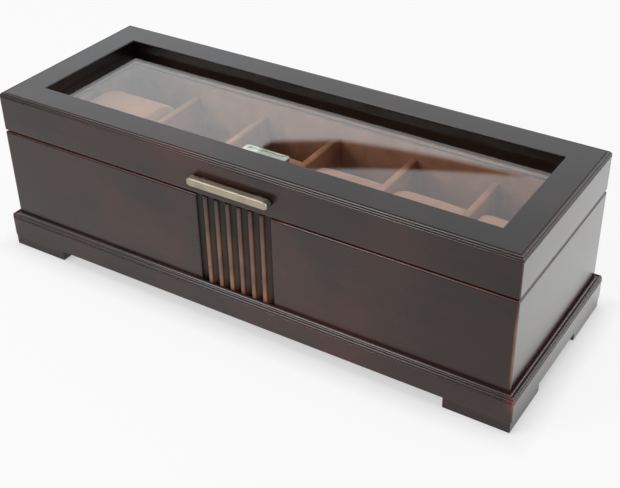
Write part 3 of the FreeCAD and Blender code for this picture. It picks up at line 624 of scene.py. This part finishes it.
@dataclass(frozen=True)
class Paper(Finish):
    """White paper that the box stands on, by its lengths in metres.

    To the eye it is white, and keeps the box's shadow beside the plinth. In reflections it is
    brighter to the right and the back, where the backdrop is lit, and darker at the box's foot,
    where a shadow is painted into its glow.
    """

    glow: tuple[float, float] = (1.0, 1.7)
    glow_from: tuple[float, float] = (0.02, 0.26)
    dip: float = 0.32
    white: tuple[float, float] = (0.5, 0.88)
    shadow_reach: float = 0.014
    foot_shadow: float = 0.6
    foot_reach: float = 0.010
    box_half: tuple[float, float] = (0.169, 0.063)

    def surface(self, tree: bpy.types.NodeTree) -> bpy.types.Node:
        """Adds the finish's shader.

        Args:
            tree: the material's node tree.

        Returns:
            The shader.
        """
        place = add(tree, "TexCoord").outputs["Object"]
        x, y, _ = add(tree, "SeparateXYZ", {0: place}).outputs
        lit = add(tree, "Math", {0: x, 1: y}, operation="ADD").outputs[0]
        level = add(tree, "MapRange", {"Value": lit, "From Min": self.glow_from[0],
                                       "From Max": self.glow_from[1], "To Min": self.glow[0],
                                       "To Max": self.glow[1]},
                    interpolation_type="SMOOTHSTEP").outputs["Result"]
        # The front right of the paper lies in the dark of the room.
        dip = mask(tree, (x, 0.0, 0.16), (y, -0.05, -0.08), times=(self.dip,), unit=1.0,
                   smooth=False)
        dimmed = add(tree, "Math", {0: level, 1: dip}, operation="SUBTRACT").outputs[0]
        beside = []
        for value, half in zip((x, y), self.box_half):
            out = add(tree, "Math", {0: value}, operation="ABSOLUTE").outputs[0]
            beside.append(add(tree, "Math", {0: out, 1: half}, operation="SUBTRACT").outputs[0])
        away = add(tree, "Math", {0: beside[0], 1: beside[1]}, operation="MAXIMUM").outputs[0]
        # Painted shadow: in reflections the paper is dimmed within a centimetre of the box.
        foot = add(tree, "MapRange", {"Value": away, "From Max": self.foot_reach,
                                      "To Min": self.foot_shadow}).outputs["Result"]
        shadow = add(tree, "MapRange", {"Value": away, "From Max": self.shadow_reach,
                                        "To Min": self.white[0],
                                        "To Max": self.white[1]}).outputs["Result"]
        path = add(tree, "LightPath")
        glow = add(tree, "Emission", {"Color": linear("f8faf9"),
                                      "Strength": mask(tree, times=(dimmed, foot))})
        bright = add(tree, "Emission", {"Color": linear("fbfbfc"), "Strength": 1.0})
        paper = add(tree, "BsdfDiffuse", {"Color": linear("f3f3f4")})
        pale = add(tree, "MixShader", {0: mask(tree, times=(path.outputs["Is Camera Ray"], shadow)),
                                       1: paper.outputs[0], 2: bright.outputs[0]})
        return add(tree, "MixShader", {0: path.outputs["Is Glossy Ray"], 1: pale.outputs[0],
                                       2: glow.outputs[0]})


def dress(node: str, material: bpy.types.Material) -> None:
    """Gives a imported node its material.

    Args:
        node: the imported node's name.
        material: the material for all its faces.
    """
    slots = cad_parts[node].material_slots
    if slots:
        for slot in slots:
            slot.material = material
    else:
        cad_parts[node].data.materials.append(material)
    LOG.info("dressed %s in %s", node, material.name)


def mesh_piece(name: str, points: np.ndarray, faces: np.ndarray,
               smooth: bool = True) -> bpy.types.Object:
    """Makes an object of points and quads at the origin.

    Args:
        name: the object's name.
        points: one row of x, y and z for each point, in metres.
        faces: one row of point numbers for each face.
        smooth: whether its faces are shaded as a curved surface.

    Returns:
        The object, in the scene.
    """
    mesh = bpy.data.meshes.new(name)
    mesh.from_pydata(points.tolist(), [], faces.tolist())
    mesh.polygons.foreach_set("use_smooth", np.full(len(mesh.polygons), smooth))
    mesh.update()
    piece = bpy.data.objects.new(name, mesh)
    bpy.context.scene.collection.objects.link(piece)
    return piece


def tube_faces(rings: int, around: int) -> np.ndarray:
    """Numbers the quads of a tube whose points are stored ring by ring.

    Args:
        rings: how many rings of points there are.
        around: how many points a ring has.

    Returns:
        Four point numbers for each quad.
    """
    ring, spoke = np.meshgrid(np.arange(rings - 1), np.arange(around), indexing="ij")
    after = (spoke + 1) % around
    corners = (ring * around + spoke, ring * around + after,
               (ring + 1) * around + after, (ring + 1) * around + spoke)
    return np.stack([corner.ravel() for corner in corners], axis=1)


@dataclass
class Studio:
    """The camera where the photograph was taken from, a white floor, and soft lamps.

    The room's reflections are set by the direction that they come from: each row of strip and line
    has the axis of that direction, and where along it the lamp begins and is full.
    """

    eye: tuple[float, float, float] = (0.3131, -0.4632, 0.3963)
    azimuth: float = 30.921
    elevation: float = 33.85
    focal_px: float = 1129.3
    centre_px: tuple[float, float] = (346.5, 244.0)
    frame_px: tuple[float, float] = (620.0, 488.0)
    sensor_mm: float = 36.0
    strip: tuple[tuple[str, float, float], ...] = (
        ("z", 0.60, 0.68), ("y", 0.20, 0.10), ("y", -0.66, -0.56), ("x", -0.72, -0.42),
        ("x", -0.27, -0.38))
    strip_level: float = 9.0
    line: tuple[tuple[str, float, float], ...] = (
        ("x", 0.20, 0.30), ("z", 0.25, 0.30), ("z", 0.55, 0.50))
    line_level: float = 5.0
    wall_level: float = 1.4
    wall_rise: tuple[float, float] = (-0.456, -0.30)
    wall_edge: tuple[float, float] = (0.4785, 0.5005)
    wall_blur: float = 0.003
    gap_closes: tuple[float, float] = (-0.505, -0.535)
    gap_height: float = 0.03
    panel_edge: tuple[float, float] = (0.4985, 0.5030)
    fill_level: float = 0.5
    second_level: float = 0.15
    floor_half: float = 4.0

    def set_camera(self) -> None:
        """Puts the camera at the photograph's place, with its lens and its off-centre frame."""
        data = bpy.data.cameras.new("camera")
        data.sensor_width = self.sensor_mm
        data.lens = self.focal_px * data.sensor_width / self.frame_px[0]
        data.shift_x = (self.frame_px[0] / 2 - self.centre_px[0]) / self.frame_px[0]
        data.shift_y = (self.centre_px[1] - self.frame_px[1] / 2) / self.frame_px[0]
        data.clip_start = 0.01
        camera = bpy.data.objects.new("camera", data)
        bpy.context.scene.collection.objects.link(camera)
        turn = Matrix.Rotation(math.radians(self.azimuth), 4, "Z")
        tilt = Matrix.Rotation(math.radians(90 - self.elevation), 4, "X")
        camera.matrix_world = Matrix.Translation(self.eye) @ turn @ tilt
        bpy.context.scene.camera = camera

    def lay_floor(self) -> None:
        """Lays the white floor."""
        half = self.floor_half
        points = np.array([(-half, -half, 0), (half, -half, 0), (half, half, 0), (-half, half, 0)])
        floor = mesh_piece("studio_floor", points, np.array([(0, 1, 2, 3)]), smooth=False)
        floor.data.materials.append(Paper().make("white_paper_backdrop"))

    def mirrored(self, tree: bpy.types.NodeTree, way: dict[str, Any]) -> Any:
        """Works out how bright the room looks in a reflection.

        There is a bright backdrop up to a tilted edge, a dark gap, and a dimmer panel overhead. The
        room is dark towards the camera and to the right, but for two narrow lamps that only the
        rounded arrises reflect: a strip over the box, and a line behind it on the right.

        Args:
            tree: the world's node tree.
            way: the parts of the direction, by axis.

        Returns:
            The level's socket.
        """
        (begin, end), (low, high) = self.wall_rise, self.wall_edge
        rise = add(tree, "MapRange", {"Value": way["x"], "From Min": begin, "From Max": end,
                                      "To Min": low, "To Max": high}).outputs["Result"]
        closed = mask(tree, (way["x"], *self.gap_closes), times=(self.gap_height,), unit=1.0)
        edge = add(tree, "Math", {0: rise, 1: closed}, operation="ADD").outputs[0]
        over = add(tree, "Math", {0: way["z"], 1: edge}, operation="SUBTRACT").outputs[0]
        wall = mask(tree, (over, self.wall_blur, -self.wall_blur), times=(self.wall_level,),
                    unit=1.0)
        panel = mask(tree, (way["z"], *self.panel_edge), unit=1.0)
        both = add(tree, "Math", {0: wall, 1: panel}, operation="ADD").outputs[0]
        ahead = add(tree, "MapRange", {"Value": way["y"], "From Min": -0.35, "From Max": 0.15,
                                       "To Min": 0.05}, interpolation_type="SMOOTHSTEP")
        right = add(tree, "MapRange", {"Value": way["x"], "From Min": 0.0, "From Max": 0.15,
                                       "To Min": 1.0, "To Max": 0.1},
                    interpolation_type="SMOOTHSTEP")
        seen = mask(tree, times=(both, ahead.outputs["Result"], right.outputs["Result"]))
        for rows, level, smooth in ((self.strip, self.strip_level, True),
                                    (self.line, self.line_level, False)):
            lamp = mask(tree, *((way[axis], low, high) for axis, low, high in rows), times=(level,),
                        unit=1.0, smooth=smooth)
            seen = add(tree, "Math", {0: seen, 1: lamp}, operation="ADD").outputs[0]
        return seen

    def light_world(self) -> None:
        """Lights the room: white to the eye, soft grey as fill, and the mirrored room in gloss."""
        world = bpy.data.worlds.new("studio")
        bpy.context.scene.world = world
        world.use_nodes = True
        tree = world.node_tree
        tree.nodes.clear()
        direction = add(tree, "TexCoord").outputs["Generated"]
        way = dict(zip("xyz", add(tree, "SeparateXYZ", {0: direction}).outputs))
        path = add(tree, "LightPath").outputs
        # A second reflection finds the room dim, so that no arris is doubled in the pane.
        again = add(tree, "MapRange", {"Value": path["Glossy Depth"], "From Min": 1.0,
                                       "From Max": 2.0, "To Min": 1.0,
                                       "To Max": self.second_level}).outputs["Result"]
        seen = mask(tree, times=(self.mirrored(tree, way), again))
        fill = add(tree, "Background", {"Color": linear("fdfdff"), "Strength": self.fill_level})
        mirror = add(tree, "Background", {"Color": linear("f3f8fb"), "Strength": seen})
        white = add(tree, "Background", {"Color": linear("f7f7f9"), "Strength": 1.0})
        clear = add(tree, "Math", {0: path["Is Camera Ray"], 1: path["Is Transmission Ray"]},
                    operation="MAXIMUM")
        soft = add(tree, "MixShader", {0: clear.outputs[0], 1: fill.outputs[0],
                                       2: white.outputs[0]})
        # What the pane's lower face mirrors leaves it as a transmitted ray that was glossy before.
        inside = add(tree, "Math", {0: path["Is Transmission Ray"], 1: path["Glossy Depth"]},
                     operation="MULTIPLY", use_clamp=True)
        glossy = add(tree, "Math", {0: path["Is Glossy Ray"], 1: inside.outputs[0]},
                     operation="MAXIMUM")
        final = add(tree, "MixShader", {0: glossy.outputs[0], 1: soft.outputs[0],
                                        2: mirror.outputs[0]})
        add(tree, "OutputWorld", {"Surface": final.outputs[0]})

    def hang_lamp(self, name: str, at: tuple[float, float, float], size: float,
                  power: float) -> None:
        """Hangs a square soft lamp that points at the middle of the box.

        Args:
            name: the lamp's name.
            at: where it hangs, in metres.
            size: the length of its edge, in metres.
            power: its power in watts.
        """
        data = bpy.data.lights.new(name, "AREA")
        data.size = size
        data.energy = power
        lamp = bpy.data.objects.new(name, data)
        lamp.visible_glossy = False
        bpy.context.scene.collection.objects.link(lamp)
        aim = (Vector((0, 0, 0.05)) - Vector(at)).to_track_quat("-Z", "Y")
        lamp.matrix_world = Matrix.Translation(at) @ aim.to_matrix().to_4x4()

    def build(self) -> None:
        """Sets up the camera, the floor, the world and the lamps."""
        self.set_camera()
        self.lay_floor()
        self.light_world()
        self.hang_lamp("key_lamp", at=(-1.1, -1.3, 0.75), size=1.3, power=20.0)
        self.hang_lamp("top_lamp", at=(0.1, 0.1, 1.6), size=1.0, power=10.0)
        bpy.context.scene.view_settings.view_transform = "Standard"
        LOG.info("built the studio")


@dataclass
class Joinery:
    """The wooden pieces: plinth, feet, case walls and lid frame, each with its grain along it."""

    layout: Layout

    def build(self) -> None:
        """Dresses every wooden node."""
        finishes = {}
        for family, wear_and_light in (("plinth", WearAndPaintedLight.PLINTH), ("wall", WearAndPaintedLight.CASE), ("lid", WearAndPaintedLight.LID)):
            for side in SIDES:
                along = side in ("front", "back")
                kind = WearAndPaintedLight.FLUTES if (family, side) == ("wall", "front") else wear_and_light
                key = (along, kind)
                if key not in finishes:
                    name = f"lacquered_wood_{kind.value}_{'long' if along else 'short'}"
                    finishes[key] = LacqueredWood(self.layout, along, kind).make(name)
                dress(f"{family}_{side}", finishes[key])
        feet = LacqueredWood(self.layout).make("lacquered_wood_feet")
        for face in ("front", "back"):
            for end in ENDS:
                dress(f"foot_{face}_{end}", feet)
        # The beads are dark-stained wood, and their colours are darkened further as painted shade,
        # for the shade inside the lid's frame.
        beads = LacqueredWood(self.layout, dark="0e0908", light="17100e", red="1c100d",
                              roughness=0.35).make("lacquered_wood_beads_shaded")
        for side in SIDES:
            dress(f"bead_{side}", beads)
        # The underside of the floor is stained but never lacquered, so it is duller.
        board = LacqueredWood(self.layout, dark="2a1c17", light="3c2a22", red="402a20",
                              roughness=0.6)
        dress("floor_panel", board.make("stained_board"))


@dataclass
class Lining:
    """The suede inside: floor, walls, dividers, and the strips in the lid."""

    tan: Suede = field(default_factory=lambda: Suede("9a6a52", "b07d65"))

    def build(self) -> None:
        """Dresses every suede-covered node."""
        cover = self.tan.make("tan_microfibre_suede")
        names = ["lining_floor"] + [f"divider_{number}" for number in range(1, DIVIDERS + 1)]
        for side in SIDES:
            names += [f"lining_{side}", f"lid_lining_{side}"]
        for name in names:
            dress(name, cover)


@dataclass
class Cushion:
    """A stuffed cushion: a tube of suede with a flat panel sewn into each end over a thin welt.

    Lengths are in millimetres.
    """

    number: int
    cover: bpy.types.Material
    blow_up: float = 5.0
    voxel: float = 13.0
    shrink: float = 0.965
    pressure: float = 4.0
    frames: int = 20
    most: float = 3.0
    squareness: float = 2.9
    taper: float = 0.10
    around: int = 96
    along: int = 24
    welt: float = 0.75
    welt_sides: int = 10
    seam_inset: float = 2.2
    seam_pull: float = 0.8
    seam_width: float = 1.6
    pucker: float = 0.12
    pucker_reach: float = 5.0
    puckers: int = 31
    seam_band: float = 1.7
    seam_evening: int = 2
    unevenness: float = 0.5
    uneven_step: float = 9.0
    uneven_shift: float = 1.7
    closing: tuple[float, ...] = (0.75, 0.5, 0.25, 0.02)
    side_gap: float = 0.05
    flatness: float = 1.6
    fill: float = 0.75
    middle: np.ndarray = field(init=False)
    half: Vector = field(init=False)

    def __post_init__(self) -> None:
        """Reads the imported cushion's middle and half sizes, in metres."""
        low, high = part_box(f"cushion_{self.number}")
        self.middle = np.array((low + high) / 2)
        self.half = (high - low) / 2

    def shape(self) -> tuple[np.ndarray, np.ndarray]:
        """Works out the cover before it is stuffed.

        A point at angle a and place u along the cushion lies on a rounded oblong, whose half
        sizes times the cosine and sine of a are raised to a power under one. Towards each end the
        oblong shrinks with the sixth power of u, and the last rings close the end panel.

        Returns:
            The points in metres, and the quads.
        """
        turn = np.linspace(0, 2 * np.pi, self.around, endpoint=False)
        power = 2 / self.squareness
        ring_y = np.sign(np.cos(turn)) * np.abs(np.cos(turn)) ** power
        ring_z = np.sign(np.sin(turn)) * np.abs(np.sin(turn)) ** power
        u = np.linspace(-1, 1, self.along)
        shell = 1 - self.taper * np.abs(u) ** 6
        closing = np.array(self.closing)
        ends = np.ones(len(closing))
        place = np.concatenate([-ends, u, ends])
        scale = np.concatenate([closing[::-1] * shell[0], shell, closing * shell[-1]])
        x = place[:, None] * self.half.x * np.ones_like(turn)[None, :]
        y = scale[:, None] * ring_y[None, :] * self.half.y
        z = scale[:, None] * ring_z[None, :] * self.half.z
        points = np.stack([x, y, z], axis=2).reshape(-1, 3) * self.shrink
        return points, tube_faces(len(place), self.around)

    def stuff(self, piece: bpy.types.Object) -> np.ndarray:
        """Blows the cover up like a stuffed cushion, at a larger scale.

        Args:
            piece: the cover, at its real size about its own middle.

        Returns:
            The stuffed points in metres, about the same middle.
        """
        piece.data.vertices.foreach_set("co", (self.points(piece) * self.blow_up).ravel())
        remesh = piece.modifiers.new("even_mesh", "REMESH")
        remesh.mode = "VOXEL"
        remesh.voxel_size = self.voxel * MM
        self.apply_modifiers(piece)
        before = self.points(piece)
        cloth = piece.modifiers.new("stuffing", "CLOTH")
        cloth.settings.use_pressure = True
        cloth.settings.uniform_pressure_force = self.pressure
        cloth.settings.effector_weights.gravity = 0.0
        for number in range(1, self.frames + 1):
            bpy.context.scene.frame_set(number)
        self.apply_modifiers(piece)
        bpy.context.scene.frame_set(1)
        moved = self.points(piece) - before
        length = np.linalg.norm(moved, axis=1, keepdims=True)
        limit = self.most * MM * self.blow_up
        moved *= np.minimum(1.0, limit / np.maximum(length, 1e-9))
        return (before + moved) / self.blow_up

    @staticmethod
    def points(piece: bpy.types.Object) -> np.ndarray:
        """Reads a piece's points as rows."""
        coords = np.empty(len(piece.data.vertices) * 3)
        piece.data.vertices.foreach_get("co", coords)
        return coords.reshape(-1, 3)

    @staticmethod
    def apply_modifiers(piece: bpy.types.Object) -> None:
        """Puts what the modifiers made in the place of a piece's mesh."""
        graph = bpy.context.evaluated_depsgraph_get()
        piece.data = bpy.data.meshes.new_from_object(piece.evaluated_get(graph))
        piece.modifiers.clear()

    def finish_cover(self, points: np.ndarray) -> np.ndarray:
        """Adds the pull of the seams and fits the cover to its compartment.

        Round each seam the cover is drawn in by a bell curve of the distance from the seam, and
        puckered by a wave round the ring that dies away from it. The sides are then pressed flat
        against the dividers, and a slow wave keeps each cushion a little unlike the next.

        Args:
            points: the stuffed points, about the cushion's middle.

        Returns:
            The finished points.
        """
        half, number = self.half, self.number
        x, y, z = points.T.copy()
        radius = np.maximum(np.hypot(y, z), 1e-6)
        angle = np.arctan2(z, y)
        away = np.abs(np.abs(x) - (half.x - self.seam_inset * MM))
        pull = self.seam_pull * MM * np.exp(-(away / (self.seam_width * MM)) ** 2)
        pucker = (self.pucker * MM * np.exp(-away / (self.pucker_reach * MM))
                  * np.cos(self.puckers * angle + number))
        slow = (self.unevenness * MM
                * np.sin(x / (self.uneven_step * MM) + number * self.uneven_shift)
                * np.cos(2 * angle + number))
        grown = 1 + (slow - pull + pucker) / radius
        y, z = y * grown, z * grown
        y *= min(half.y / np.abs(y).max(), 1.0)
        z *= min(half.z / np.abs(z).max(), 1.0)
        limit = half.x - self.side_gap * MM
        x = limit * np.tanh(x / limit * self.flatness) / np.tanh(self.flatness)
        return np.stack([np.clip(x, -limit, limit), y, z], axis=1)

    def seam_ring(self, points: np.ndarray, side: int) -> np.ndarray:
        """Finds the line of a seam on the finished cover.

        The line is the cover's radius as a function of angle, taken from the points near the seam
        and evened out with a running mean.

        Args:
            points: the finished points, about the cushion's middle.
            side: minus one for the left end, one for the right.

        Returns:
            Points round the seam.
        """
        seam = side * (self.half.x - self.seam_inset * MM)
        near = points[np.abs(points[:, 0] - seam) < self.seam_band * MM]
        angle = np.arctan2(near[:, 2], near[:, 1])
        radius = np.hypot(near[:, 1], near[:, 2])
        order = np.argsort(angle)
        turn = np.linspace(-np.pi, np.pi, self.around, endpoint=False)
        found = np.interp(turn, angle[order], radius[order], period=2 * np.pi)
        reach = self.seam_evening
        window = np.ones(2 * reach + 1) / (2 * reach + 1)
        found = np.convolve(np.concatenate([found[-reach:], found, found[:reach]]), window,
                            mode="valid")
        return np.stack([np.full_like(turn, seam), found * np.cos(turn), found * np.sin(turn)],
                        axis=1)

    def cord(self, name: str, line: np.ndarray) -> bpy.types.Object:
        """Makes the welt: a thin round cord carried along a closed line.

        At each point of the line, a circle stands across the line's direction, in the plane of the
        outward direction and X.

        Args:
            name: the piece's name.
            line: points round the seam, about the cushion's middle.

        Returns:
            The welt.
        """
        outward = line * np.array([0.0, 1.0, 1.0])
        outward /= np.linalg.norm(outward, axis=1, keepdims=True)
        turn = np.linspace(0, 2 * np.pi, self.welt_sides, endpoint=False)
        beside = np.array([1.0, 0.0, 0.0])
        circle = (np.cos(turn)[None, :, None] * outward[:, None, :]
                  + np.sin(turn)[None, :, None] * beside[None, None, :]) * self.welt * MM
        points = (line[:, None, :] + circle).reshape(-1, 3) + self.middle
        points = np.concatenate([points, points[:len(turn)]])
        return mesh_piece(name, points, tube_faces(len(line) + 1, len(turn)))

    def build(self) -> None:
        """Makes the cushion in its compartment, and hides the plain one."""
        node = f"cushion_{self.number}"
        piece = mesh_piece(f"{node}_cover", *self.shape())
        stuffed = self.finish_cover(self.stuff(piece))
        piece.data.vertices.foreach_set("co", (stuffed + self.middle).ravel())
        piece.data.polygons.foreach_set("use_smooth", np.ones(len(piece.data.polygons), dtype=bool))
        piece.data.update()
        smooth = piece.modifiers.new("smooth", "SUBSURF")
        smooth.levels = smooth.render_levels = 1
        piece.data.materials.clear()
        piece.data.materials.append(self.cover)
        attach(piece, node)
        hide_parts(node)
        LOG.info("made %s", piece.name)
        for end, side in zip(ENDS, (-1, 1)):
            welt = self.cord(f"{node}_welt_{end}", self.seam_ring(stuffed, side))
            welt.data.materials.append(self.cover)
            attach(welt, node)
            LOG.info("made %s", welt.name)


@dataclass
class Hardware:
    """The metal: handle, hinges, catch, strike and screws."""

    champagne: PlatedMetal = field(default_factory=PlatedMetal)
    bright: PlatedMetal = field(default_factory=lambda: PlatedMetal("d8dcd6", "aab0aa", 0.22))

    def build(self) -> None:
        """Dresses every metal node."""
        satin = self.champagne.make("champagne_nickel_plate")
        polished = self.bright.make("bright_nickel_plate")
        dress("handle", satin)
        dress("handle_screws", polished)
        # The catch's well gets painted shade.
        pressed = replace(self.bright, well=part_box("catch_case"))
        dress("catch_case", pressed.make("bright_nickel_shaded_well"))
        for name in ("catch_pole_front", "catch_pole_back", "catch_screws", "strike_plate",
                     "strike_screws"):
            dress(name, polished)
        for end in ENDS:
            for part in ("case_leaf", "lid_leaf", "pin"):
                dress(f"hinge_{end}_{part}", satin)
        dress("hinge_case_screws", satin)
        dress("hinge_lid_screws", satin)
        dress("catch_magnet", Ferrite().make("sintered_ferrite"))


@dataclass
class Glazing:
    """The pane in the lid."""

    glass: FloatGlass = field(default_factory=FloatGlass)

    def build(self) -> None:
        """Dresses the pane."""
        dress("glass_pane", self.glass.make("clear_float_glass"))


def main() -> None:
    """Builds and dresses the box."""
    logging.basicConfig(level=logging.INFO, format="%(message)s")
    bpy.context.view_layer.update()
    layout = Layout.read()
    Studio().build()
    Joinery(layout).build()
    Lining().build()
    Hardware().build()
    Glazing().build()
    cover = Suede("a8735d", "bb866e", stroke=26.0, sheen=0.45, sheen_tint="f2d8c6")
    rose = cover.make("rose_tan_suede")
    for number in range(1, CUSHIONS + 1):
        Cushion(number, rose).build()
    bpy.context.view_layer.update()


if __name__ == "__main__":
    main()
